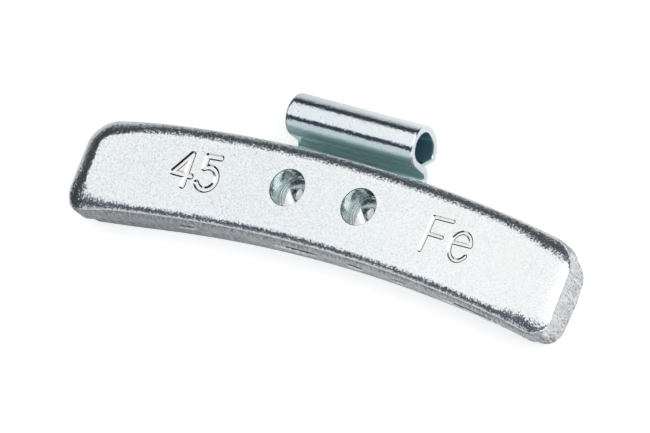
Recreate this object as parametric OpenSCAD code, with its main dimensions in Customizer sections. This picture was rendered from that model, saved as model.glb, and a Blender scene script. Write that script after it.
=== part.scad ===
// Clip-on balance weight for a car wheel, 45 g.
// An arc-shaped steel bar with a rolled spring clip staked into its back.
// The weight lies on its back: X runs along its length, +Y points to the clip and the
// wheel's rim edge, and Z = 0 is the flat back face. Sizes are in millimetres.

/* [Weight body] */
// Length between the two parallel ends
body_length = 72.6; // [45:0.2:90]
// Radius of the convex long side, which faces the clip
top_radius = 200.5; // [150:0.5:260]
// Distance between the convex and the concave long side
body_height = 12.7; // [10:0.1:16]
// Thickness from the back face to the front face
body_thickness = 6.4; // [5.6:0.1:9]
// Corner radius beside the convex side
top_corner_r = 4.2; // [2.5:0.1:5]
// Corner radius beside the concave side
bottom_corner_r = 2.8; // [2:0.1:4]
// Radius of the tight round where the side turns into the rolled front edge
edge_tight_r = 0.6; // [0.2:0.05:0.7]
// Radius of the flatter roll that runs on into the face
edge_flat_r = 2.5; // [1.4:0.1:2.7]
// Slope against the face where the tight round and the flatter roll meet
edge_break = 36; // [25:1:40]
// How much wider the roll grows at the four corners, as a share of its width
corner_roll = 0.5; // [0:0.05:0.5]

/* [Sheared rear zone] */
// How far the sheared zone reaches forward from the back face
shear_depth = 2.4; // [1.2:0.1:3]
// How far the ends stand back in the sheared zone
shear_end_step = 0.2; // [0.05:0.05:0.8]
// How far the long sides stand back in the sheared zone
shear_side_step = 0.45; // [0.05:0.05:0.7]
// How much further the four corners stand back in the sheared zone
shear_corner_step = 0.4; // [0:0.05:0.6]
// Height of the slope between the sheared zone and the smooth zone
shear_slope = 0.4; // [0.2:0.05:0.8]

/* [Staking] */
// Radius of the two punch marks in the front face
punch_r = 2.4; // [1.6:0.05:2.6]
// Distance between the two punch marks
punch_pitch = 10.7; // [9:0.1:11]
// Height of the punch marks above the middle of the body
punch_rise = 0.6; // [0:0.1:1]
// Depth of a punch mark's straight wall
punch_depth = 3.3; // [1.5:0.1:3.6]
// Height of the cone that rises from a punch mark's bottom
punch_cone_height = 2.6; // [0.3:0.1:3]
// Width of the flat ring round that cone
punch_ring = 0.2; // [0.1:0.05:0.5]
// Radius of a staked boss where it leaves the body
boss_r = 1.8; // [1.2:0.05:2]
// How much wider a boss is at the back face than where it leaves the body
boss_flare = 0.3; // [0.1:0.05:0.5]
// Radius of the dimple in the back of a staked boss
dimple_r = 1.2; // [0.6:0.05:1.2]
// Depth of that dimple
dimple_depth = 1; // [0.4:0.05:1.2]

/* [Spring clip] */
// Width of the strip, measured along the weight
clip_width = 19.1; // [16:0.1:24]
// Thickness of the spring steel strip
strip_thickness = 0.9; // [0.6:0.05:1]
// Inner radius of the bend between the leg and the seat
seat_bend_r = 0.88; // [0.6:0.02:1.2]
// Gap between the body's convex side and the underside of the seat
seat_gap = 1.5; // [1:0.02:2.5]
// Outer radius of the loop's front half
loop_front_r = 2.78; // [2.2:0.02:3]
// Outer radius of the loop's flatter crown
loop_crown_r = 4.2; // [3.6:0.05:5]
// Angle that the flatter crown turns through
crown_angle = 32; // [20:1:36]
// Outer radius of the loop's rear shoulder
loop_rear_r = 3.36; // [2.5:0.02:3.6]
// Length of the straight lip below the rear shoulder
lip_length = 1.1; // [0.2:0.05:1.3]
// Size of the bevels at the lip's two ends
lip_bevel = 1.4; // [0.5:0.1:2]
// How far the loop's rear stays in front of the back face
loop_lift = 0.05; // [0.02:0.01:0.3]
// Distance of the leg's end from the body's concave side
leg_margin = 2.6; // [1:0.1:3.2]

/* [Clearances] */
// Gap round the leg's three edges in the pocket
pocket_clear = 0.1; // [0.05:0.01:0.3]
// Gap between a staked boss and its hole in the leg
stake_clear = 0.02; // [0.01:0.01:0.05]

/* [Hidden] */
bottom_radius = top_radius - body_height;
// The two arcs share this centre, and Y = 0 lies midway between them
arc_centre = [0, -(top_radius + bottom_radius) / 2];
half_length = body_length / 2;
crest_y = body_height / 2;
sole_y = -body_height / 2;
punch_places = [[-punch_pitch / 2, punch_rise], [punch_pitch / 2, punch_rise]];
leg_end_y = sole_y + leg_margin;
seat_y = crest_y + seat_gap;
bend = [seat_y - seat_bend_r, strip_thickness + seat_bend_r];
crown_y = seat_y + 2 * loop_front_r - loop_crown_r;
rear_step = loop_crown_r - loop_rear_r;
rear = [crown_y + rear_step * cos(crown_angle), loop_lift + loop_rear_r];
loop_z = rear.y + rear_step * sin(crown_angle);
front = [seat_y + loop_front_r, loop_z];
crown = [crown_y, loop_z];
lip_y = rear.x - lip_length;
// Overshoot of a cut past the face that it opens
cut = 0.5;
// Reach of the widened roll along the outline, either way from a corner
roll_reach = 1.3 * top_corner_r;
edge_drop = edge_tight_r * cos(edge_break) + edge_flat_r * (1 - cos(edge_break));
tight_steps = 3;
flat_steps = 5;
// Slope of the rolled edge at each ring of the loft, from the side to the face
edge_slopes = concat(
    [for (i = [0:tight_steps]) 90 - (90 - edge_break) * i / tight_steps],
    [for (i = [1:flat_steps]) edge_break * (1 - i / flat_steps)]
);
long_steps = 40;
corner_steps = 10;
bend_steps = 12;
bend_step = 90 / bend_steps;
crown_step = crown_angle / bend_steps;
round_steps = 96;
// A small angle that keeps the first point of an arc clear of the last point of another
apart = 0.2;

// Points on an arc as [x, y, normal x, normal y], where the normals point away from the bar.
// Facing is 1 where the arc bulges out of the bar and -1 where it is hollow
function rim(centre, r, from, to, steps, facing) = [
    for (i = [0:steps])
        let (a = from + (to - from) * i / steps)
        [centre.x + r * cos(a), centre.y + r * sin(a), facing * cos(a), facing * sin(a)]
];

// Centre of a round plan corner at the +X end: tangent to the end and to a long side
function corner_centre(r, arc_r) =
    let (x = half_length - r)
    [x, arc_centre.y + sqrt(arc_r * arc_r - x * x)];

function polar_angle(point) = atan2(point.y - arc_centre.y, point.x);

top_corner = corner_centre(top_corner_r, top_radius - top_corner_r);
bottom_corner = corner_centre(bottom_corner_r, bottom_radius + bottom_corner_r);
top_a = polar_angle(top_corner);
bottom_a = polar_angle(bottom_corner);

// Half of the plan, clockwise from the crest to the sole on the +X side
half_plan = concat(
    rim(arc_centre, top_radius, 90, top_a + apart, long_steps, 1),
    rim(top_corner, top_corner_r, top_a, 0, corner_steps, 1),
    rim(bottom_corner, bottom_corner_r, 0, bottom_a - 180, corner_steps, 1),
    rim(arc_centre, bottom_radius, bottom_a + apart, 90, long_steps, -1)
);
plan = concat(
    half_plan,
    [for (i = [len(half_plan) - 2:-1:1]) let (p = half_plan[i]) [-p.x, p.y, -p[2], p[3]]]
);

// Nearness to a plan corner, from 0 far away to 1 at the corner's middle
function at_corner(p) =
    let (
        top = top_corner + top_corner_r * [1, 1] / sqrt(2),
        bottom = bottom_corner + bottom_corner_r * [1, -1] / sqrt(2),
        here = [abs(p.x), p.y],
        d = min(norm(here - top), norm(here - bottom)) / roll_reach
    )
    exp(-d * d);

// How far a point of the plan stands back in the sheared zone
function shear_step(p) =
    shear_side_step + (shear_end_step - shear_side_step) * pow(abs(p[2]), 3)
    + shear_corner_step * at_corner(p);

// The rolled edge where it has a given slope, as [set back from the side, drop below the face]
function edge_at(slope) =
    slope > edge_break
    ? [edge_tight_r * (1 - sin(slope)), edge_drop - edge_tight_r * cos(slope)]
    : [
        edge_tight_r * (1 - sin(edge_break)) + edge_flat_r * (sin(edge_break) - sin(slope)),
        edge_flat_r * (1 - cos(slope))
    ];

// One ring of the loft, as [set back, height] at a plan point: ring 0 lies in the back face,
// rings 1 and 2 bound the slope, and the last rings roll over into the front face
function ring_at(p, ring) =
    ring == 0 ? [shear_step(p), 0]
    : ring == 1 ? [shear_step(p), shear_depth]
    : ring == 2 ? [0, shear_depth + shear_slope]
    : let (share = at_corner(p), edge = edge_at(edge_slopes[ring - 3]))
        [
            edge.x * (1 + corner_roll * share),
            body_thickness - edge.y * (1 + corner_roll / 2 * share)
        ];

ring_count = 3 + len(edge_slopes);

module bar() {
    count = len(plan);
    polyhedron(
        points = [
            for (ring = [0:ring_count - 1], p = plan)
                let (place = ring_at(p, ring))
                [p.x - p[2] * place.x, p.y - p[3] * place.x, place.y]
        ],
        faces = concat(
            [[for (i = [count - 1:-1:0]) i]],
            [[for (i = [0:count - 1]) (ring_count - 1) * count + i]],
            [
                for (ring = [0:ring_count - 2], i = [0:count - 1])
                    let (a = ring * count + i, b = ring * count + (i + 1) % count)
                    each [[a, b, b + count], [a, b + count, a + count]]
            ]
        )
    );
}

// A staked boss between the pocket's floor and the back face, or the hole that it fills
module boss(gap) {
    cylinder(h = strip_thickness, r1 = boss_r + boss_flare + gap, r2 = boss_r + gap,
        $fn = round_steps);
    translate([0, 0, -cut]) cylinder(h = cut, r = boss_r + boss_flare + gap, $fn = round_steps);
}

// A blind punch mark with the cone that rises from its bottom
module punch_mark() {
    floor_z = body_thickness - punch_depth;
    difference() {
        translate([0, 0, floor_z]) cylinder(h = punch_depth + cut, r = punch_r, $fn = round_steps);
        translate([0, 0, floor_z]) cylinder(h = punch_cone_height, r1 = punch_r - punch_ring,
            r2 = 0, $fn = round_steps);
    }
}

// The dimple that spread a boss in its hole
module dimple() {
    translate([0, 0, -cut]) cylinder(h = dimple_depth + cut,
        r1 = dimple_r * (1 + cut / dimple_depth), r2 = 0, $fn = round_steps);
}

// The pocket in the back that holds the clip's leg, open at the convex side
module leg_pocket() {
    difference() {
        translate([-clip_width / 2 - pocket_clear, leg_end_y - pocket_clear, -cut])
            cube([clip_width + 2 * pocket_clear, body_height, strip_thickness + cut]);
        for (place = punch_places) translate(place) boss(0);
    }
}

module weight_body() {
    color([0.80, 0.83, 0.85]) difference() {
        bar();
        leg_pocket();
        for (place = punch_places) translate(place) {
            punch_mark();
            dimple();
        }
    }
}

function arc(centre, r, from, to) = [
    for (i = [0:bend_steps])
        let (a = from + (to - from) * i / bend_steps)
        centre + r * [cos(a), sin(a)]
];

// One face of the strip from the leg's end to the lip, at depth t into the strip. The first
// axis points away from the body and the second to the front
function strip_face(t) = concat(
    [[leg_end_y, strip_thickness - t]],
    arc(bend, seat_bend_r + t, -90, 0),
    arc(front, loop_front_r - t, 180, 90),
    arc(front, loop_front_r - t, 90 - bend_step, bend_step),
    arc(crown, loop_crown_r - t, 0, -crown_angle + crown_step),
    arc(rear, loop_rear_r - t, -crown_angle, -90),
    [[lip_y, loop_lift + t]]
);

// The sharp corner that is cut from one end of the lip
module lip_corner() {
    translate([clip_width / 2, lip_y, loop_lift - cut]) linear_extrude(2 * strip_thickness + cut)
        polygon([[cut, -cut], [-lip_bevel - cut, -cut], [cut, lip_bevel + cut]]);
}

module spring_clip() {
    inner = strip_face(strip_thickness);
    color([0.72, 0.76, 0.77]) difference() {
        translate([-clip_width / 2, 0, 0]) rotate([90, 0, 90]) linear_extrude(clip_width)
            polygon(concat(strip_face(0), [for (i = [len(inner) - 1:-1:0]) inner[i]]));
        for (place = punch_places) translate(place) boss(stake_clear);
        for (flip = [0, 1]) mirror([flip, 0, 0]) lip_corner();
    }
}

weight_body();
spring_clip();
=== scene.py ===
"""Looks of a clip-on balance weight: a zinc plated steel bar and the spring clip staked into it."""

import math

import bpy
import numpy as np
from mathutils import Matrix, Vector, noise


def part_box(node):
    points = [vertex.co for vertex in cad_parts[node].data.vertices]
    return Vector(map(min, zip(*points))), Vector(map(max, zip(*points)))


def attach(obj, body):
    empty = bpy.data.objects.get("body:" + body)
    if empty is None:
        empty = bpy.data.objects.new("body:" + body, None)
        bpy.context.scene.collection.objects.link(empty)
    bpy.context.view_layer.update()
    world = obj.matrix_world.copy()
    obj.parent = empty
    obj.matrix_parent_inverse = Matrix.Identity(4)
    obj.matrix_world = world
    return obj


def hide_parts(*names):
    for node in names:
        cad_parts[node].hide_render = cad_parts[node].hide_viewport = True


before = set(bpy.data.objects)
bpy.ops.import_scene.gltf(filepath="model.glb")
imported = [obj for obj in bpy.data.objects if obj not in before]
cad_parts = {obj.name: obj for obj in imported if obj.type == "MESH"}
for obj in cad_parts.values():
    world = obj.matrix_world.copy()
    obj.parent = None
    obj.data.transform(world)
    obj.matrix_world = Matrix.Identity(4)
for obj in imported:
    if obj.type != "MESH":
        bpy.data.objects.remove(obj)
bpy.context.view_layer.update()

# Every size below is in millimetres and every angle in degrees, in the frame of the solids
MM = 0.001
_, body_high = (np.array(corner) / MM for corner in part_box("weight_body"))
clip_low, clip_high = (np.array(corner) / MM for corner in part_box("spring_clip"))

# The bar's plan
HALF_LENGTH = body_high[0]
CREST_Y = body_high[1]
THICKNESS = body_high[2]
TOP_RADIUS = 200.5
BOTTOM_RADIUS = TOP_RADIUS - 2 * CREST_Y
ARC_CENTRE = np.array([0, -(TOP_RADIUS + BOTTOM_RADIUS) / 2])
TOP_CORNER_R = 4.2
BOTTOM_CORNER_R = 2.8
# A small angle that keeps the end of a long arc clear of the corner's first point
ARC_CLEAR = 0.05

# The back edge as (set back, height) pairs, and where the level part of the side starts
BACK_EDGE = ((0.18, 0), (0.05, 0.06))
BACK_EDGE_TOP = 0.2
# The sheared zone: its height, the slope above it, and how far it stands back
SHEAR_DEPTH = 2.6
SHEAR_SLOPE = 0.4
SHEAR_END_STEP = 0.2
SHEAR_SIDE_STEP = 0.28
SHEAR_CORNER_STEP = 0.4
# Depth of the streaks in the sheared zone and at its upper end, and of the waves above it
STREAK_DEPTH = 0.09
UPPER_STREAK_DEPTH = 0.01
WAVE_DEPTH = 0.05
SIDE_STEPS = 16

# Tears above the sheared zone, on the hollow side: start X, end X, start Z, end Z, strength
TEARS = (
    (-20, -16.5, 4.3, 4.5, 0.6),
    (-6.2, 1.6, 4.8, 4.4, 1),
    (5.2, 8.2, 4.5, 4.3, 0.8),
    (12, 15, 4.4, 4.3, 0.6),
    (19, 30.5, 4.9, 4.7, 1),
)
TEAR_DEPTH = 0.12
TEAR_LIP = 0.26
# Half the height of a tear's gap and of the lip under it, how far down the lip is, and the wander
TEAR_GAP_HEIGHT = 0.22
TEAR_LIP_HEIGHT = 0.28
TEAR_LIP_DROP = 0.5
TEAR_WANDER = 0.12

# The rolled edge as arcs from the side to the face: steepest slope, flattest slope, radius, steps
ROLL_ARCS = ((90, 40, 0.5, 8), (40, 34, 0.8, 3), (34, 14, 4, 15), (14, 0, 1.2, 6))
# The same on the hollow side, where the roll is tighter
HOLLOW_ROLL_ARCS = ((90, 45, 1.3, 8), (45, 31, 1.3, 3), (31, 14, 2.8, 15), (14, 0, 1, 6))
# How much wider and how much deeper the rolled edge is at the corners, as shares
TOP_CORNER_WIDER = 0.6
BOTTOM_CORNER_WIDER = 1.1
CORNER_DEEPER = 0.8
# The same at the two ends
END_WIDER = 0.65
# Distance over which a corner's share fades
ROLL_REACH = 1.3 * TOP_CORNER_R
# How far inside the rolled edge the face has its first level ring
FACE_MARGIN = 0.3

PUNCH_PLACES = ((-5.35, 0.6), (5.35, 0.6))
PUNCH_R = 2.4
PUNCH_DEPTH = 3.3
PUNCH_FLOOR = THICKNESS - PUNCH_DEPTH
PUNCH_CONE_HEIGHT = 2.6
PUNCH_RING = 0.2
PUNCH_LIP = 0.1
# The punch mark's wall as steps outwards from PUNCH_R: with the height over the floor at its
# foot, and with the depth under the face at its lip
PUNCH_FOOT_STEPS = ((-0.05, 0), (0, 0.06))
PUNCH_LIP_STEPS = ((0, 0.2), (0.03, 0.08), (PUNCH_LIP, 0))
BOSS_R = 1.8
BOSS_FLARE = 0.3
DIMPLE_R = 1.2
DIMPLE_DEPTH = 1
# Radius left at the tip of a cone
TIP_R = 0.05
POCKET_CLEAR = 0.1
STAKE_CLEAR = 0.02
# How far a cutter reaches past the surface that it opens, and the pocket's past the crest
PAST = 0.5
POCKET_PAST = 5

CLIP_WIDTH = clip_high[0] - clip_low[0]
STRIP = 0.9
STRIP_EDGE_R = 0.25
SEAT_BEND_R = 0.88
SEAT_Y = CREST_Y + 1.5
LOOP_FRONT_R = 2.78
LOOP_CROWN_R = 4.2
CROWN_ANGLE = 32
LOOP_REAR_R = 3.36
LIP_LENGTH = 1.1
LIP_BEVEL = 1.4
LOOP_LIFT = 0.05
# Middle of the loop's opening as (Y, Z)
LOOP_AXIS = (SEAT_Y + LOOP_FRONT_R, 3.8)

# Stamped marks as (width, depth, width of the sloping wall), and the half sizes of their zone
NUMBER_STAMP = (0.86, 0.18, 0.24)
SYMBOL_STAMP = (0.6, 0.12, 0.17)
MARK_ZONE = (24, 3.2)

# Materials of the body's mesh, in the order of their slots
FACE, SIDE, PAINTED_SHADE, BRIGHT, PUNCH, END = range(6)
# Depth under the face at which the side's metal starts, all round and on the hollow side
SIDE_TOP = 0.7
HOLLOW_SIDE_TOP = 0.3
# Depth under the face above which no tear shows, and the shares at which its metal changes
TEAR_TOP = 0.8
TEAR_GAP_SHARE = 0.4
TEAR_LIP_SHARE = 0.3
# The line of painted shade under a punch mark's lip, from one depth under the face to another
PUNCH_LINE = (0.01, 0.13)
# A surface counts as level when its normal rises at least this much
LEVEL_NORMAL = 0.97


def arc(centre, radius, start, stop, count, facing=1):
    """Points on an arc and their normals, from one angle to another."""
    angle = np.radians(np.linspace(start, stop, count))
    ray = np.stack([np.cos(angle), np.sin(angle)], 1)
    return np.array(centre) + radius * ray, facing * ray


def corner_centre(radius, arc_radius):
    """Centre of a round corner that touches the end and a long side."""
    x = HALF_LENGTH - radius
    return np.array([x, ARC_CENTRE[1] + math.sqrt(arc_radius**2 - x**2)])


TOP_CORNER = corner_centre(TOP_CORNER_R, TOP_RADIUS - TOP_CORNER_R)
BOTTOM_CORNER = corner_centre(BOTTOM_CORNER_R, BOTTOM_RADIUS + BOTTOM_CORNER_R)


def outline():
    """The bar's plan as points and outward normals, counter-clockwise."""
    top_a = math.degrees(math.atan2(TOP_CORNER[1] - ARC_CENTRE[1], TOP_CORNER[0]))
    bottom_a = math.degrees(math.atan2(BOTTOM_CORNER[1] - ARC_CENTRE[1], BOTTOM_CORNER[0]))
    end_y = np.linspace(TOP_CORNER[1], BOTTOM_CORNER[1], 34)[1:-1]
    end = (
        np.stack([np.full(len(end_y), HALF_LENGTH), end_y], 1),
        np.tile([1.0, 0.0], (len(end_y), 1)),
    )
    parts = [
        arc(ARC_CENTRE, TOP_RADIUS, 90, top_a + ARC_CLEAR, 140),
        arc(TOP_CORNER, TOP_CORNER_R, top_a, 0, 36),
        end,
        arc(BOTTOM_CORNER, BOTTOM_CORNER_R, 0, bottom_a - 180, 30),
        arc(ARC_CENTRE, BOTTOM_RADIUS, bottom_a + ARC_CLEAR, 90, 160, -1),
    ]
    points = np.concatenate([p for p, _ in parts])
    normals = np.concatenate([n for _, n in parts])
    mirror = np.array([-1, 1])
    points = np.concatenate([points, points[-2:0:-1] * mirror])
    normals = np.concatenate([normals, normals[-2:0:-1] * mirror])
    return points[::-1], normals[::-1]


def at_corners(points):
    """Nearness to a top and to a bottom corner, from 0 far away to 1 at the corner's middle."""
    top = TOP_CORNER + TOP_CORNER_R * np.array([1, 1]) / math.sqrt(2)
    bottom = BOTTOM_CORNER + BOTTOM_CORNER_R * np.array([1, -1]) / math.sqrt(2)
    here = np.abs(points) * [1, 0] + points * [0, 1]
    return [np.exp(-((np.linalg.norm(here - c, axis=1) / ROLL_REACH) ** 2)) for c in (top, bottom)]


def grain(points, scale, seed):
    """Smooth noise from -1 to 1 at each point, where scale is the size of a lump on each axis."""
    places = points / np.array(scale) + seed * 37.1
    return np.array([noise.noise(Vector(p)) for p in places])


def shear_step(points, normals):
    """How far the plan stands back in the sheared zone."""
    ends = np.abs(normals[:, 0]) ** 3
    step = SHEAR_SIDE_STEP + (SHEAR_END_STEP - SHEAR_SIDE_STEP) * ends
    return step + SHEAR_CORNER_STEP * np.maximum(*at_corners(points))


def shear_line(points):
    """Height of the sheared zone's ragged upper edge."""
    level = np.column_stack([points, np.zeros(len(points))])
    ragged = 0.25 * grain(level, (2.5, 2.5, 1), 6)
    return SHEAR_DEPTH + ragged + 0.12 * grain(level, (0.6, 0.6, 1), 7)


def streaks(places):
    """Depth of the drawn streaks at places on the side, as shares from 0 to 1."""
    lines = grain(places, (0.35, 0.35, 3), 1) + 0.6 * grain(places, (0.15, 0.15, 0.6), 2)
    return 0.5 + 0.5 * np.clip(lines, -1, 1)


def tears(places):
    """Shares, from 0 to 1, of a tear's gap and of the lip under it at points on the hollow side."""
    gap = np.zeros(len(places))
    lip = np.zeros(len(places))
    wander = TEAR_WANDER * grain(places, (1.2, 4, 4), 5)
    for start, stop, z_start, z_stop, strength in TEARS:
        along = (places[:, 0] - start) / (stop - start)
        share = strength * np.clip(4 * along, 0, 1) * np.clip(4 * (1 - along), 0, 1)
        share *= places[:, 1] < 0
        off = places[:, 2] - (z_start + (z_stop - z_start) * along) - wander
        gap += share * np.exp(-((off / TEAR_GAP_HEIGHT) ** 2))
        lip += share * np.exp(-(((off + TEAR_LIP_DROP) / TEAR_LIP_HEIGHT) ** 2))
    return gap, lip


def roll_profile(arcs):
    """The rolled edge as (set back, height) pairs, up from the side and level with the face at 0."""
    pairs = [(0.0, 0.0)]
    for steep, flat, radius, steps in arcs:
        slopes = np.radians(np.linspace(steep, flat, steps + 1))
        back, height = pairs[-1]
        for slope in slopes[1:]:
            pairs.append((
                back + radius * (math.sin(slopes[0]) - math.sin(slope)),
                height + radius * (math.cos(slope) - math.cos(slopes[0])),
            ))
    pairs = np.array(pairs)
    pairs[:, 1] -= pairs[-1, 1]
    return pairs


def rolled_edge(points, normals):
    """The rolled edge from the side to the face, as pairs of set back and height at every point."""
    top_share, bottom_share = at_corners(points)
    hollow_share = np.clip(-normals[:, 1], 0, 1) ** 2 * (1 - bottom_share)
    ends = END_WIDER * np.abs(normals[:, 0]) ** 3
    corners = np.maximum(TOP_CORNER_WIDER * top_share, BOTTOM_CORNER_WIDER * bottom_share)
    widen = 1 + np.maximum(corners, ends)
    deepen = 1 + np.maximum(CORNER_DEEPER * np.maximum(top_share, bottom_share), ends)
    pairs = []
    for outer, hollow in zip(roll_profile(ROLL_ARCS), roll_profile(HOLLOW_ROLL_ARCS)):
        both = outer + np.outer(hollow_share, hollow - outer)
        pairs.append((both[:, 0] * widen, THICKNESS + both[:, 1] * deepen))
    return pairs


def inset(points, normals, set_back):
    """The plan, set back. Past its first part the way runs to the middle line, so no corner folds."""
    middle_x = np.clip(points[:, 0], -HALF_LENGTH + CREST_Y, HALF_LENGTH - CREST_Y)
    middle_r = (TOP_RADIUS + BOTTOM_RADIUS) / 2
    middle = np.stack([middle_x, ARC_CENTRE[1] + np.sqrt(middle_r**2 - middle_x**2)], 1)
    straight = np.minimum(set_back, BOTTOM_CORNER_R / 2) * np.ones(len(points))
    flat = points - normals * straight[:, None]
    inwards = middle - flat
    inwards /= np.linalg.norm(inwards, axis=1)[:, None]
    return flat + inwards * (set_back - straight)[:, None]


def closed_mesh(name, points, faces):
    """A mesh object from points in millimetres."""
    mesh = bpy.data.meshes.new(name)
    mesh.from_pydata([tuple(p) for p in np.asarray(points) * MM], [], faces)
    mesh.update()
    made = bpy.data.objects.new(name, mesh)
    bpy.context.scene.collection.objects.link(made)
    return made


def loft(name, rings):
    """A closed mesh through rings of equally many points, with a flat face at both ends."""
    count = len(rings[0])
    points = np.concatenate(rings)
    index = np.arange(count)
    after = (index + 1) % count
    faces = []
    for ring in range(len(rings) - 1):
        low = ring * count
        high = low + count
        quads = np.stack([low + index, low + after, high + after, high + index], 1)
        faces += [tuple(quad) for quad in quads]
    faces.append(tuple(index[::-1]))
    faces.append(tuple((len(rings) - 1) * count + index))
    return closed_mesh(name, points, faces)


def bar():
    """The bar before anything is cut: sheared zone, smooth zone, rolled edge and face."""
    points, normals = outline()
    back = shear_step(points, normals)
    shear_top = shear_line(points)
    smooth_low = shear_top + SHEAR_SLOPE
    edge = rolled_edge(points, normals)
    smooth_high = edge[0][1]
    rings = []

    def ring(set_back, height, streak_depth=0.0, wave_depth=0.0):
        flat = inset(points, normals, set_back)
        places = np.column_stack([flat, np.broadcast_to(height, len(points))])
        inward = np.zeros(len(points))
        if streak_depth:
            inward += streak_depth * streaks(places)
        if wave_depth:
            gap, lip = tears(places)
            inward += wave_depth * (0.5 + 0.5 * grain(places, (2.5, 2.5, 1.2), 3))
            inward += TEAR_DEPTH * gap - TEAR_LIP * lip
        places[:, :2] -= normals * inward[:, None]
        rings.append(places)

    for set_back, height in BACK_EDGE:
        ring(back + set_back, height)
    for part in np.linspace(0, 1, SIDE_STEPS + 1):
        ring(back, BACK_EDGE_TOP + (shear_top - BACK_EDGE_TOP) * part, streak_depth=STREAK_DEPTH)
    for part in (0.25, 0.5, 0.75, 1):
        depth = STREAK_DEPTH * (1 - part) + UPPER_STREAK_DEPTH
        ring(back * (1 - part), shear_top + SHEAR_SLOPE * part, streak_depth=depth)
    for part in np.linspace(0, 1, SIDE_STEPS + 1)[1:-1]:
        ring(0, smooth_low + (smooth_high - smooth_low) * part, wave_depth=WAVE_DEPTH)
    for set_back, height in edge:
        ring(set_back, height)
    # A level ring inside the rolled edge keeps the whole face flat
    ring(edge[-1][0] + FACE_MARGIN, THICKNESS)
    return loft("weight_body_visual", rings)


def revolve(name, profile, centre, count=96):
    """A closed solid turned round a vertical axis from (radius, height) pairs."""
    angle = np.radians(np.linspace(0, 360, count, endpoint=False))
    rings = []
    for radius, height in profile:
        rings.append(np.stack([
            centre[0] + radius * np.cos(angle),
            centre[1] + radius * np.sin(angle),
            np.full(count, height),
        ], 1))
    return loft(name, rings)


def block(name, low, high):
    """A box between two corners."""
    plan = [(low[0], low[1]), (high[0], low[1]), (high[0], high[1]), (low[0], high[1])]
    rings = [np.array([[*corner, z] for corner in plan]) for z in (low[2], high[2])]
    return loft(name, rings)


def stroke(name, line, stamp):
    """One stamped stroke as a cutter that narrows towards its bottom."""
    width, depth, wall = stamp
    line = np.array(line, float)
    ahead = np.diff(line, axis=0)
    ahead /= np.linalg.norm(ahead, axis=1)[:, None]
    ahead = np.concatenate([ahead[:1], ahead[:-1] + ahead[1:], ahead[-1:]])
    ahead /= np.linalg.norm(ahead, axis=1)[:, None]
    side = np.stack([-ahead[:, 1], ahead[:, 0]], 1)

    def around(half):
        first = math.degrees(math.atan2(side[0, 1], side[0, 0]))
        last = math.degrees(math.atan2(-side[-1, 1], -side[-1, 0]))
        start_cap = arc(line[0], half, first, first + 180, 9)[0]
        end_cap = arc(line[-1], half, last, last + 180, 9)[0]
        right = line[1:-1] - half * side[1:-1]
        left = line[1:-1] + half * side[1:-1]
        return np.concatenate([start_cap, right, end_cap, left[::-1]])

    rings = []
    for height, half in ((THICKNESS - depth, width / 2 - wall), (THICKNESS + depth, width / 2 + wall)):
        flat = around(half)
        rings.append(np.column_stack([flat, np.full(len(flat), height)]))
    return loft(name, rings)


def bow(centre, radii, start, stop, count=30):
    """Points on an upright ellipse, for the round strokes of a figure or a letter."""
    angle = np.radians(np.linspace(start, stop, count))
    return np.stack([centre[0] + radii[0] * np.cos(angle), centre[1] + radii[1] * np.sin(angle)], 1)


def marks():
    """Cutters for the grams in figures at the left, and for the sign for iron at the right."""
    number = [
        [(-20.1, 1.6), (-21.95, -1.24)],
        [(-21.95, -1.28), (-19.2, -1.28)],
        [(-20.05, 1.6), (-19.88, -2.72)],
        [(-15.95, 2.0), (-17.9, 1.85)],
        [(-17.92, 1.8), (-17.8, 0.25)],
        bow((-16.95, -1.0), (1.45, 1.5), 125, -145),
    ]
    symbol = [
        [(16.12, 1.85), (15.84, -2.65)],
        [(16.15, 1.86), (18.9, 1.9)],
        [(16.0, -0.36), (18.15, -0.42)],
        [(19.8, -0.62), (22.4, -0.58)],
        bow((21.08, -0.95), (1.42, 1.85), 12, 326),
    ]
    cutters = [stroke(f"number_{i}", line, NUMBER_STAMP) for i, line in enumerate(number)]
    cutters += [stroke(f"symbol_{i}", line, SYMBOL_STAMP) for i, line in enumerate(symbol)]
    return cutters


def cut(solid, cutters):
    """Cuts every cutter from the solid, then removes the cutters."""
    for cutter in cutters:
        step = solid.modifiers.new("cut", "BOOLEAN")
        step.operation = "DIFFERENCE"
        step.solver = "MANIFOLD"
        step.object = cutter
    bpy.context.view_layer.update()
    made = bpy.data.meshes.new_from_object(solid.evaluated_get(bpy.context.evaluated_depsgraph_get()))
    solid.modifiers.clear()
    solid.data = made
    for cutter in cutters:
        bpy.data.objects.remove(cutter)
    return solid


def punch_profile():
    """A punch mark as (radius, height) pairs, from the tip of its cone to above the face."""
    pairs = [(TIP_R, PUNCH_FLOOR + PUNCH_CONE_HEIGHT), (PUNCH_R - PUNCH_RING, PUNCH_FLOOR)]
    pairs += [(PUNCH_R + out, PUNCH_FLOOR + up) for out, up in PUNCH_FOOT_STEPS]
    pairs += [(PUNCH_R + out, THICKNESS - down) for out, down in PUNCH_LIP_STEPS]
    pairs.append((PUNCH_R + PUNCH_LIP, THICKNESS + PAST))
    return pairs


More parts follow.
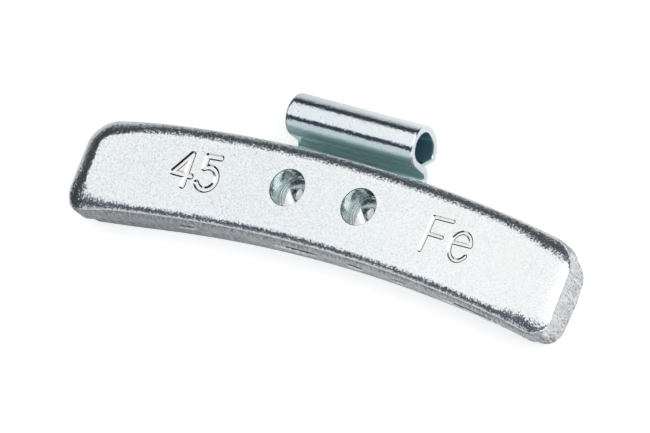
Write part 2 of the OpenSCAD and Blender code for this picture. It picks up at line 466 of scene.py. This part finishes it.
def weight_body():
    """The bar with its pocket, bosses, punch marks, dimples and stamped marks."""
    half_pocket = CLIP_WIDTH / 2 + POCKET_CLEAR
    leg_end = clip_low[1] - POCKET_CLEAR
    pocket = block(
        "pocket",
        (-half_pocket, leg_end, -2 * PAST),
        (half_pocket, CREST_Y + POCKET_PAST, STRIP),
    )
    # The bosses flare towards the back, and their cones start behind the pocket's cutter
    boss_start = -4 * PAST
    boss_wide = BOSS_R + BOSS_FLARE * (1 - boss_start / STRIP)
    boss_profile = ((boss_wide, boss_start), (BOSS_R, STRIP), (BOSS_R, STRIP + 2 * PAST))
    dimple_profile = ((2 * DIMPLE_R, -DIMPLE_DEPTH), (TIP_R, DIMPLE_DEPTH))
    bosses = []
    cutters = marks()
    for place in PUNCH_PLACES:
        bosses.append(revolve("boss", boss_profile, place))
        cutters.append(revolve("punch", punch_profile(), place))
        cutters.append(revolve("dimple", dimple_profile, place))
    return cut(bar(), cutters + [cut(pocket, bosses)])


def strip_path():
    """Middle line of the strip, from the leg's end to the lip, as parts of (Y, Z) and normals."""
    bend = (SEAT_Y - SEAT_BEND_R, STRIP + SEAT_BEND_R)
    crown_y = SEAT_Y + 2 * LOOP_FRONT_R - LOOP_CROWN_R
    rear_step = LOOP_CROWN_R - LOOP_REAR_R
    turn = math.radians(CROWN_ANGLE)
    rear = (crown_y + rear_step * math.cos(turn), LOOP_LIFT + LOOP_REAR_R)
    loop_z = rear[1] + rear_step * math.sin(turn)
    half = STRIP / 2
    leg_y = np.linspace(clip_low[1], bend[0], 40)[:-1]
    leg = (
        np.stack([leg_y, np.full(len(leg_y), half)], 1),
        np.tile([0.0, 1.0], (len(leg_y), 1)),
    )
    lip_y = np.linspace(rear[0], rear[0] - LIP_LENGTH, 6)[1:]
    lip = (
        np.stack([lip_y, np.full(len(lip_y), LOOP_LIFT + half)], 1),
        np.tile([0.0, -1.0], (len(lip_y), 1)),
    )
    # The strip's front face is the inside of the bend and the outside of the loop
    return [
        leg,
        arc(bend, SEAT_BEND_R + half, -90, 0, 16, -1),
        arc((SEAT_Y + LOOP_FRONT_R, loop_z), LOOP_FRONT_R - half, 180, 0, 70),
        arc((crown_y, loop_z), LOOP_CROWN_R - half, 0, -CROWN_ANGLE, 20),
        arc(rear, LOOP_REAR_R - half, -CROWN_ANGLE, -90, 34),
        lip,
    ]


def strip_section():
    """The strip's section as (X, depth) pairs, with slightly rounded edges."""
    half_x = CLIP_WIDTH / 2 - STRIP_EDGE_R
    half_depth = STRIP / 2 - STRIP_EDGE_R
    widths = np.linspace(-half_x, half_x, 60)
    level = np.full(len(widths), STRIP / 2)

    def corner(x, depth, angles):
        turn = np.radians(angles)
        return np.column_stack([x + STRIP_EDGE_R * np.cos(turn), depth + STRIP_EDGE_R * np.sin(turn)])

    return np.concatenate([
        np.column_stack([widths, level]),
        corner(half_x, half_depth, (60, 30, 0)),
        corner(half_x, -half_depth, (0, -30, -60)),
        np.column_stack([widths[::-1], -level]),
        corner(-half_x, -half_depth, (-120, -150, -180)),
        corner(-half_x, half_depth, (180, 150, 120)),
    ])


def spring_clip():
    """The strip swept along its middle line, with bevelled corners at the lip and two holes."""
    points = []
    normals = []
    for part_points, part_normals in strip_path():
        # A part that starts where the last one stopped leaves out its first point
        start = 1 if points and np.allclose(part_points[0], points[-1], atol=1e-3) else 0
        points.extend(part_points[start:])
        normals.extend(part_normals[start:])
    steps = np.linalg.norm(np.diff(points, axis=0), axis=1)
    to_end = np.append(np.cumsum(steps[::-1])[::-1], 0)
    section = strip_section()
    rings = []
    for point, normal, rest in zip(points, normals, to_end):
        narrow = 1 - max(0, LIP_BEVEL - rest) / (CLIP_WIDTH / 2)
        rings.append(np.column_stack([
            section[:, 0] * narrow,
            point[0] + normal[0] * section[:, 1],
            point[1] + normal[1] * section[:, 1],
        ]))
    wide = BOSS_R + BOSS_FLARE + STAKE_CLEAR
    hole_profile = (
        (wide + BOSS_FLARE * PAST / STRIP, -PAST),
        (wide, 0),
        (BOSS_R + STAKE_CLEAR, STRIP),
        (BOSS_R, STRIP + PAST),
    )
    holes = [revolve("hole", hole_profile, place) for place in PUNCH_PLACES]
    return cut(loft("spring_clip_visual", rings), holes)


def face_places(obj):
    """Middle, in millimetres, and normal of every face."""
    count = len(obj.data.polygons)
    middle = np.empty(3 * count)
    normal = np.empty(3 * count)
    obj.data.polygons.foreach_get("center", middle)
    obj.data.polygons.foreach_get("normal", normal)
    return middle.reshape(-1, 3) / MM, normal.reshape(-1, 3)


def body_kinds(body):
    """Which of the body's materials each of its faces has."""
    middle, normal = face_places(body)
    x, y, z = middle.T
    normal_x, normal_y, normal_z = normal.T
    steep = np.abs(normal_z) < LEVEL_NORMAL
    in_punch = np.zeros(len(middle), bool)
    for place_x, place_y in PUNCH_PLACES:
        in_punch |= np.hypot(x - place_x, y - place_y) < PUNCH_R + 2 * PUNCH_LIP
    kind = np.full(len(middle), FACE, np.int32)

    # The side's metal, which reaches higher up on the hollow side
    on_side = (np.abs(normal_z) < 0.6) & (z < THICKNESS - SIDE_TOP)
    on_hollow_side = (normal_z < 0.77) & (normal_y < -0.5) & (z > 0.1)
    on_side |= on_hollow_side & (z < THICKNESS - HOLLOW_SIDE_TOP)
    kind[~in_punch & on_side & (z > 0)] = SIDE
    # The ends get the paler copy of the side's metal as painted light, and the sides keep the darker copy
    # as painted shade
    kind[(kind == SIDE) & (np.abs(normal_x) > 0.7)] = END

    # A tear's lip gets the ends' paler metal as painted highlight, and its gap gets painted shadow
    gap, lip = tears(middle)
    kind[(kind == SIDE) & (lip > TEAR_LIP_SHARE)] = END
    kind[steep & (z < THICKNESS - TEAR_TOP) & (gap > TEAR_GAP_SHARE)] = PAINTED_SHADE

    # A stamped mark's walls get painted shade where they face left or the hollow side. Its floor is bright
    on_mark = ~in_punch & (np.abs(x) < MARK_ZONE[0]) & (np.abs(y) < MARK_ZONE[1])
    on_wall = on_mark & (normal_z > 0.1) & (normal_z < LEVEL_NORMAL) & (z > THICKNESS - 0.2)
    level = np.maximum(np.hypot(normal_x, normal_y), 1e-6)
    faces_x = normal_x / level
    faces_y = normal_y / level
    kind[on_wall & ((faces_x < 0.1) | (faces_y < -0.3)) & (faces_y > -0.985)] = PAINTED_SHADE
    for _, depth, _ in (NUMBER_STAMP, SYMBOL_STAMP):
        kind[on_mark & (np.abs(z - THICKNESS + depth) < 0.002) & (normal_z > 0.99)] = BRIGHT

    # A punch mark has a line of painted shade just under its lip
    kind[in_punch & (z < THICKNESS - 0.02) & (z > PUNCH_FLOOR - PUNCH_RING)] = PUNCH
    line_top, line_low = PUNCH_LINE
    kind[in_punch & steep & (z < THICKNESS - line_top) & (z > THICKNESS - line_low)] = PAINTED_SHADE
    return kind


def clip_kinds(clip):
    """1 for each of the clip's faces inside the loop, which get painted shade, and 0 for the others."""
    middle, normal = face_places(clip)
    to_axis = np.array(LOOP_AXIS) - middle[:, 1:]
    looks_in = (to_axis * normal[:, 1:]).sum(1) > 0
    near_axis = np.hypot(to_axis[:, 0], to_axis[:, 1]) < LOOP_FRONT_R + 0.3
    return (looks_in & near_axis & (np.abs(normal[:, 0]) < 0.3)).astype(np.int32)


def finish_mesh(obj, materials, kinds, sharp):
    """Gives each face its material, and smooth shading between edges that are less sharp."""
    obj.data.materials.clear()
    for material in materials:
        obj.data.materials.append(material)
    obj.data.polygons.foreach_set("material_index", kinds)
    obj.data.shade_smooth()
    obj.data.set_sharp_from_angle(angle=math.radians(sharp))


# Colours of what lies in and on the plating, and of painted shade and highlights, as red, green, blue and
# cover
WHITE = (1, 1, 1, 1)
WARM_BLOTCH = (0.87, 0.86, 0.84, 1)
COOL_BLOTCH = (0.78, 0.87, 0.9, 1)
SCRATCH = (0.4, 0.4, 0.4, 1)
SPECK = (0.3, 0.33, 0.36, 1)
PUNCH_PAINTED_SHADE = (0.2, 0.24, 0.24, 1)
PUNCH_PAINTED_HIGHLIGHT = (0.97, 0.97, 0.96, 1)
PUNCH_FOOT_SHADE = (0.1, 0.08, 0.07, 1)
# Scratches as (direction, size)
SCRATCHES = ((38, 0.9), (-24, 0.7), (52, 0.6))
# Between these X the plating is painted paler towards the right end, as painted light from the lamp there
PALER_ENDS = (-10, 25)
# Between these Y the painted teal shade on the clip's neck fades, towards the loop
NECK_SHADE_ENDS = (SEAT_Y + 0.5, SEAT_Y + 1.3)


class Shading:
    """Short ways to add nodes to one material or world."""

    def __init__(self, tree):
        self.tree = tree

    def put(self, socket, value):
        """Sets an input to a number or colour, or links it to an output."""
        if isinstance(value, bpy.types.NodeSocket):
            self.tree.links.new(value, socket)
        else:
            socket.default_value = value

    def math(self, operation, first, second=0.0, third=0.0):
        """The result of one operation on up to three numbers."""
        made = self.tree.nodes.new("ShaderNodeMath")
        made.operation = operation
        for socket, value in zip(made.inputs, (first, second, third)):
            self.put(socket, value)
        return made.outputs[0]

    def times(self, first, second):
        """Two numbers or shares multiplied."""
        return self.math("MULTIPLY", first, second)

    def length(self, x, y):
        """Length of a flat vector."""
        return self.math("SQRT", self.math("ADD", self.times(x, x), self.times(y, y)))

    def axes(self, vector):
        """X, Y and Z of a vector."""
        made = self.tree.nodes.new("ShaderNodeSeparateXYZ")
        self.put(made.inputs[0], vector)
        return [made.outputs[axis] for axis in "XYZ"]

    def between(self, value, low, high, start=0.0, stop=1.0):
        """Start where the value is low, stop where it is high, and smooth between."""
        made = self.tree.nodes.new("ShaderNodeMapRange")
        made.interpolation_type = "SMOOTHSTEP"
        names = ("Value", "From Min", "From Max", "To Min", "To Max")
        for name, number in zip(names, (value, low, high, start, stop)):
            self.put(made.inputs[name], number)
        return made.outputs["Result"]

    def mix(self, share, first, second, kind="MIX"):
        """The first colour with a share of the second."""
        made = self.tree.nodes.new("ShaderNodeMix")
        made.data_type = "RGBA"
        made.blend_type = kind
        for socket, value in zip((made.inputs[0], made.inputs[6], made.inputs[7]), (share, first, second)):
            self.put(socket, value)
        return made.outputs[2]

    def place(self, stretch=(1, 1, 1), turn=0):
        """Places on the object in millimetres, turned on the face and divided by a stretch on each axis."""
        coordinates = self.tree.nodes.new("ShaderNodeTexCoord")
        made = self.tree.nodes.new("ShaderNodeMapping")
        made.vector_type = "TEXTURE"
        made.inputs["Rotation"].default_value = (0, 0, math.radians(turn))
        made.inputs["Scale"].default_value = tuple(MM * s for s in stretch)
        self.tree.links.new(coordinates.outputs["Object"], made.inputs["Vector"])
        return made.outputs["Vector"]

    def noise(self, where, size, detail=2.0, distortion=0.0, output="Fac"):
        """Noise with lumps of this size in millimetres."""
        made = self.tree.nodes.new("ShaderNodeTexNoise")
        self.put(made.inputs["Vector"], where)
        made.inputs["Scale"].default_value = 1 / size
        made.inputs["Detail"].default_value = detail
        made.inputs["Distortion"].default_value = distortion
        return made.outputs[output]

    def normal(self):
        """The surface's direction."""
        return self.tree.nodes.new("ShaderNodeNewGeometry").outputs["Normal"]

    def vector_math(self, operation, *values):
        """The result of one operation on vectors."""
        made = self.tree.nodes.new("ShaderNodeVectorMath")
        made.operation = operation
        for socket, value in zip(made.inputs, values):
            self.put(socket, value)
        return made.outputs[0]

    def grained(self, where, size, amount):
        """The surface's direction, turned a little at random in grains of this size."""
        random = self.noise(where, size, 2, output="Color")
        shift = self.vector_math("SUBTRACT", random, (0.5, 0.5, 0.5))
        turned = self.vector_math("MULTIPLY_ADD", shift, (amount, amount, amount), self.normal())
        return self.vector_math("NORMALIZE", turned)

    def bump(self, height, depth, under=None):
        """A bump as deep as this in millimetres, over another bump."""
        made = self.tree.nodes.new("ShaderNodeBump")
        made.inputs["Distance"].default_value = depth * MM
        self.tree.links.new(height, made.inputs["Height"])
        if under is not None:
            self.tree.links.new(under, made.inputs["Normal"])
        return made.outputs["Normal"]


def metal(name, rough, metallic=1):
    """A bare metal material, with its shading helper and its shader."""
    material = bpy.data.materials.new(name)
    material.use_nodes = True
    shader = material.node_tree.nodes["Principled BSDF"]
    shader.inputs["Metallic"].default_value = metallic
    shader.inputs["Roughness"].default_value = rough
    return material, Shading(material.node_tree), shader


def plain_metal(name, colour, rough, metallic=1):
    """One even tone of metal."""
    material, _, shader = metal(name, rough, metallic)
    shader.inputs["Base Color"].default_value = (*colour, 1)
    return material


def shade_of(colour, factor):
    """A colour made paler or darker by a factor."""
    return (*(min(1, c * factor) for c in colour), 1)


def plated(name, colour, rough, grain_turn, grain_size, flecks, neck_shade_tint=None):
    """Bright zinc with fine grain, blotches, scratches and specks, painted paler towards the lamp at the
    right, and with a painted teal shade on the clip's neck if asked.
    """
    material, shading, shader = metal(name, rough)
    where = shading.place()
    x, y, _ = shading.axes(where)
    grains = shading.between(shading.noise(where, grain_size, 3), 0.3, 0.7)
    tone = shading.mix(grains, shade_of(colour, 1 - flecks), shade_of(colour, 1 + 0.6 * flecks))
    warm = shading.between(shading.noise(where, 3.5, 4, 0.8), 0.5, 0.72, 0, 0.5)
    tone = shading.mix(warm, tone, WARM_BLOTCH)
    cool = shading.between(shading.noise(where, 2.2, 3, 0.5), 0.42, 0.25, 0, 0.6)
    tone = shading.mix(cool, tone, COOL_BLOTCH)
    patches = shading.between(shading.noise(where, 5, 1), 0.45, 0.55)
    for turn, size in SCRATCHES:
        lines = shading.noise(shading.place((0.09, 2.6, 2.6), turn), size, 1)
        scratched = shading.times(shading.between(lines, 0.7, 0.74), patches)
        tone = shading.mix(shading.times(scratched, 0.6), tone, SCRATCH)
    specks = shading.between(shading.noise(where, 0.32, 1), 0.67, 0.75, 0, 0.6)
    specks = shading.times(specks, shading.between(shading.noise(where, 3, 2), 0.48, 0.6))
    tone = shading.mix(specks, tone, SPECK)
    # Painted light: paler towards the lamp at the right end
    tone = shading.mix(shading.between(x, *PALER_ENDS, 0, 0.4), tone, WHITE)
    # Painted shade: a teal tone and less metal on the clip's neck near the seat
    if neck_shade_tint is not None:
        # The strip's end faces look along X and keep their own tone
        sideways = shading.math("ABSOLUTE", shading.axes(shading.normal())[0])
        flank = shading.between(y, *NECK_SHADE_ENDS, 1, 0)
        flank = shading.times(flank, shading.between(sideways, 0.3, 0.7, 1, 0))
        tone = shading.mix(flank, tone, (*neck_shade_tint, 1))
        shading.put(shader.inputs["Metallic"], shading.math("MULTIPLY_ADD", flank, -0.38, 1))
    shading.put(shader.inputs["Base Color"], tone)
    turned = shading.grained(where, grain_size, grain_turn)
    shading.put(shader.inputs["Normal"], shading.bump(shading.noise(where, 1.6, 2), 0.02, turned))
    return material


def sheared(name, colour, contrast):
    """Plating over the torn and drawn sides, with streaks along the depth."""
    material, shading, shader = metal(name, 0.32)
    where = shading.place()
    _, _, height = shading.axes(where)
    lines = shading.noise(shading.place((0.3, 0.3, 2.5)), 1, 3)
    lumps = shading.noise(where, 0.3, 3)
    torn = shading.between(height, SHEAR_DEPTH + 2, SHEAR_DEPTH + 1.3)
    streaked = shading.between(lines, 0.3, 0.7)
    tone = shading.mix(streaked, shade_of(colour, 1 - contrast), shade_of(colour, 1 + contrast))
    dark = shading.times(shading.between(lumps, 0.54, 0.62, 0, 0.75), torn)
    tone = shading.mix(dark, tone, shade_of(colour, 0.35))
    pale = shading.times(shading.between(lumps, 0.42, 0.34, 0, 0.7), torn)
    tone = shading.mix(pale, tone, shade_of(colour, 1.7))
    shading.put(shader.inputs["Base Color"], tone)
    drawn = shading.bump(lines, 0.05)
    shading.put(shader.inputs["Normal"], shading.bump(lumps, 0.03, drawn))
    return material


def punched(name, colour, rough):
    """The punch marks' metal: each cone has a painted highlight on one flank and speckled painted shade on
    another.
    """
    material, shading, shader = metal(name, rough)
    where = shading.place()
    x, y, height = shading.axes(where)
    # The two marks are equally far from X = 0, and the sign of X tells them apart
    middle_x, middle_y = PUNCH_PLACES[1]
    x = shading.math("SUBTRACT", x, shading.times(shading.math("SIGN", x), middle_x))
    y = shading.math("SUBTRACT", y, middle_y)
    turn = shading.times(shading.math("ARCTAN2", y, x), 180 / math.pi)
    radius = shading.length(x, y)
    cone_r = PUNCH_R - PUNCH_RING
    on_cone = shading.between(radius, cone_r + 0.06, cone_r + 0.1, 1, 0)

    def flank(start, full, still_full, stop):
        """Share of a flank that lies between directions round the mark's middle."""
        fades_out = shading.between(turn, still_full, stop, 1, 0)
        return shading.times(shading.between(turn, start, full), fades_out)

    pale = flank(-158, -130, -78, -52)
    dark = flank(-55, -35, 35, 60)
    # Half way down, the flank with painted shade gets a ring of painted highlight, and below that its
    # painted shade is lighter
    low = shading.between(radius, 0.5, 1.1)
    highlight_ring = shading.times(dark, shading.times(low, shading.between(radius, 1, 1.3, 1, 0)))
    speckle = shading.between(shading.noise(where, 0.2, 2), 0.4, 0.6, 1, 0.6)
    dark = shading.times(dark, shading.math("MAXIMUM", shading.math("SUBTRACT", speckle, low), 0.4))
    tone = shading.mix(shading.times(dark, on_cone), (*colour, 1), PUNCH_PAINTED_SHADE)
    tone = shading.mix(shading.times(pale, on_cone), tone, PUNCH_PAINTED_HIGHLIGHT)
    # Painted shade along the foot of the punch mark's wall
    at_foot = shading.between(height, PUNCH_FLOOR + 0.15, PUNCH_FLOOR + 0.3, 1, 0)
    at_foot = shading.times(at_foot, shading.math("SUBTRACT", 1, on_cone))
    tone = shading.mix(shading.times(at_foot, 0.4), tone, PUNCH_FOOT_SHADE)
    shading.put(shader.inputs["Base Color"], tone)
    # The painted highlights have their normals turned nearly level, so they mirror the ceiling
    highlight_tilt = shading.math("MAXIMUM", shading.times(pale, 0.85), shading.times(highlight_ring, 0.7))
    level = shading.tree.nodes.new("ShaderNodeMix")
    level.data_type = "VECTOR"
    shading.put(level.inputs[0], shading.times(highlight_tilt, on_cone))
    shading.put(level.inputs[4], shading.grained(where, 0.3, 0.2))
    level.inputs[5].default_value = (0, 0, 1)
    shading.put(shader.inputs["Normal"], level.outputs[1])
    return material


def dress_body():
    """The bar's fine mesh, in place of its solid."""
    body = weight_body()
    materials = (
        plated("body_zinc", (0.84, 0.89, 0.91), 0.2, 0.48, 0.24, 0.1),
        # The sides' metal is painted darker and the ends' paler, as painted shade and painted light by the
        # way they face
        sheared("side_zinc_painted_shade", (0.35, 0.375, 0.395), 0.35),
        # Painted shade for the stamped marks' walls, the tears' gaps and the line under each punch mark's
        # lip
        plain_metal("painted_shade_lines", (0.05, 0.06, 0.065), 0.3),
        plain_metal("mark_floor", (0.93, 0.92, 0.9), 0.3),
        punched("punch_zinc", (0.77, 0.82, 0.82), 0.14),
        sheared("end_zinc_painted_light", (0.7, 0.72, 0.74), 0.18),
    )
    finish_mesh(body, materials, body_kinds(body), 20)
    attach(body, "root")
    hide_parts("weight_body")


def dress_clip():
    """The clip's fine mesh, in place of its solid."""
    clip = spring_clip()
    materials = (
        # The last colour is the painted teal shade of the clip's neck near the seat
        plated("clip_zinc", (0.75, 0.83, 0.87), 0.12, 0.28, 0.22, 0.04, (0.64, 0.92, 0.92)),
        # Inside the loop the clip is painted dark teal as painted shade
        plain_metal("loop_zinc_painted_shade", (0.26, 0.5, 0.58), 0.22, 0.7),
    )
    finish_mesh(clip, materials, clip_kinds(clip), 40)
    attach(clip, "root")
    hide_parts("spring_clip")


# The room from overhead towards the rim side, as (angle, brightness, blueness)
ROOM_ACROSS = (
    (-92, 0.7, 1), (-51, 0.7, 1), (-46, 0.05, 1.6), (-28, 0.05, 1.6), (-23, 1, 1), (42, 1, 1),
    (50, 0.05, 1.3), (70, 0.05, 1.3), (86, 0.6, 1), (92, 0.6, 1),
)
# The same from overhead towards the right end, where a lamp stands high up
ROOM_ALONG = ((26, 1, 1), (36, 1.7, 1), (84, 1.7, 1), (92, 1, 1))
LEFT_WALL = (0.04, 0.045, 0.05, 1)


def studio():
    """A pale room with a lamp high on the right, dark walls in two bands and a dark left wall."""
    world = bpy.data.worlds.new("studio")
    bpy.context.scene.world = world
    world.use_nodes = True
    tree = world.node_tree
    tree.nodes.clear()
    shading = Shading(tree)
    way = tree.nodes.new("ShaderNodeTexCoord")
    x, y, z = shading.axes(way.outputs["Generated"])

    def by_angle(side, stops):
        """The room's light by the angle from overhead towards one side."""
        ramp = tree.nodes.new("ShaderNodeValToRGB")
        marks_on_ramp = ramp.color_ramp.elements
        marks_on_ramp.remove(marks_on_ramp[1])
        for number, (angle, level, blue) in enumerate(stops):
            spot = (angle + 180) / 360
            mark = marks_on_ramp.new(spot) if number else marks_on_ramp[0]
            mark.position = spot
            mark.color = (level / blue, level, level * blue, 1)
        turn = shading.math("ARCTAN2", side, z)
        shading.put(ramp.inputs["Fac"], shading.math("MULTIPLY_ADD", turn, 0.5 / math.pi, 0.5))
        return ramp.outputs["Color"]

    leftward = shading.math("DIVIDE", shading.times(x, -1), shading.length(x, y))
    wall = shading.times(shading.between(leftward, 0.68, 0.78), shading.between(z, 0.6, 0.68, 1, 0))
    room = shading.mix(1, by_angle(y, ROOM_ACROSS), by_angle(x, ROOM_ALONG), "MULTIPLY")
    room = shading.mix(wall, room, LEFT_WALL)
    path = tree.nodes.new("ShaderNodeLightPath")
    light = tree.nodes.new("ShaderNodeBackground")
    shading.put(light.inputs["Color"], shading.mix(path.outputs["Is Camera Ray"], room, WHITE))
    out = tree.nodes.new("ShaderNodeOutputWorld")
    tree.links.new(light.outputs["Background"], out.inputs["Surface"])


FLOOR_HALF = 1200
# The table's own glow as the camera sees it, as metal mirrors it, and what a patch adds to that
FLOOR_SEEN = 0.56
FLOOR_MIRRORED = 0.12
FLOOR_PATCH = 0.24


def floor():
    """A white table that shows white where it is lit and keeps the object's shadow."""
    plan = [(-1, -1), (1, -1), (1, 1), (-1, 1)]
    table = closed_mesh("floor", [(FLOOR_HALF * x, FLOOR_HALF * y, 0) for x, y in plan], [(0, 1, 2, 3)])
    material = bpy.data.materials.new("white_table")
    material.use_nodes = True
    tree = material.node_tree
    shader = tree.nodes["Principled BSDF"]
    shader.inputs["Base Color"].default_value = (0.8, 0.8, 0.8, 1)
    shader.inputs["Roughness"].default_value = 0.9
    shader.inputs["Specular IOR Level"].default_value = 0
    shader.inputs["Emission Color"].default_value = WHITE
    shading = Shading(tree)
    path = tree.nodes.new("ShaderNodeLightPath")
    # What metal mirrors is brightest in a patch on the right, towards the lamp
    x, y, _ = shading.axes(shading.place())
    patch = shading.times(shading.between(x, -30, 5), shading.between(x, 90, 60))
    patch = shading.times(patch, shading.between(y, 60, 35))
    mirrored = shading.math("MULTIPLY_ADD", patch, FLOOR_PATCH, FLOOR_MIRRORED)
    mirrored = shading.times(path.outputs["Is Glossy Ray"], mirrored)
    seen = shading.math("MULTIPLY_ADD", path.outputs["Is Camera Ray"], FLOOR_SEEN, mirrored)
    shading.put(shader.inputs["Emission Strength"], seen)
    table.data.materials.append(material)


# Where the camera stands, what it looks at, where its right side points, and its lens
CAMERA_PLACE = (571.212, -207.313, 952.175)
CAMERA_AIM = (0.834, -1.54, 5.563)
CAMERA_RIGHT = (0.8316, 0.36, -0.4228)
CAMERA_LENS = 498.46


def camera():
    """The photo's view, from the front and the right end and tilted round its own axis."""
    place = Vector(CAMERA_PLACE)
    right = Vector(CAMERA_RIGHT)
    back = (place - Vector(CAMERA_AIM)).normalized()
    right = (right - back * right.dot(back)).normalized()
    up = back.cross(right)
    turned = Matrix((right, up, back)).transposed().to_4x4()
    turned.translation = place * MM
    lens = bpy.data.cameras.new("camera")
    lens.lens = CAMERA_LENS
    lens.sensor_width = 36
    lens.clip_start = 0.1
    lens.clip_end = 10
    made = bpy.data.objects.new("camera", lens)
    bpy.context.scene.collection.objects.link(made)
    made.matrix_world = turned
    bpy.context.scene.camera = made


bpy.context.scene.view_settings.view_transform = "Standard"
dress_body()
dress_clip()
studio()
floor()
camera()
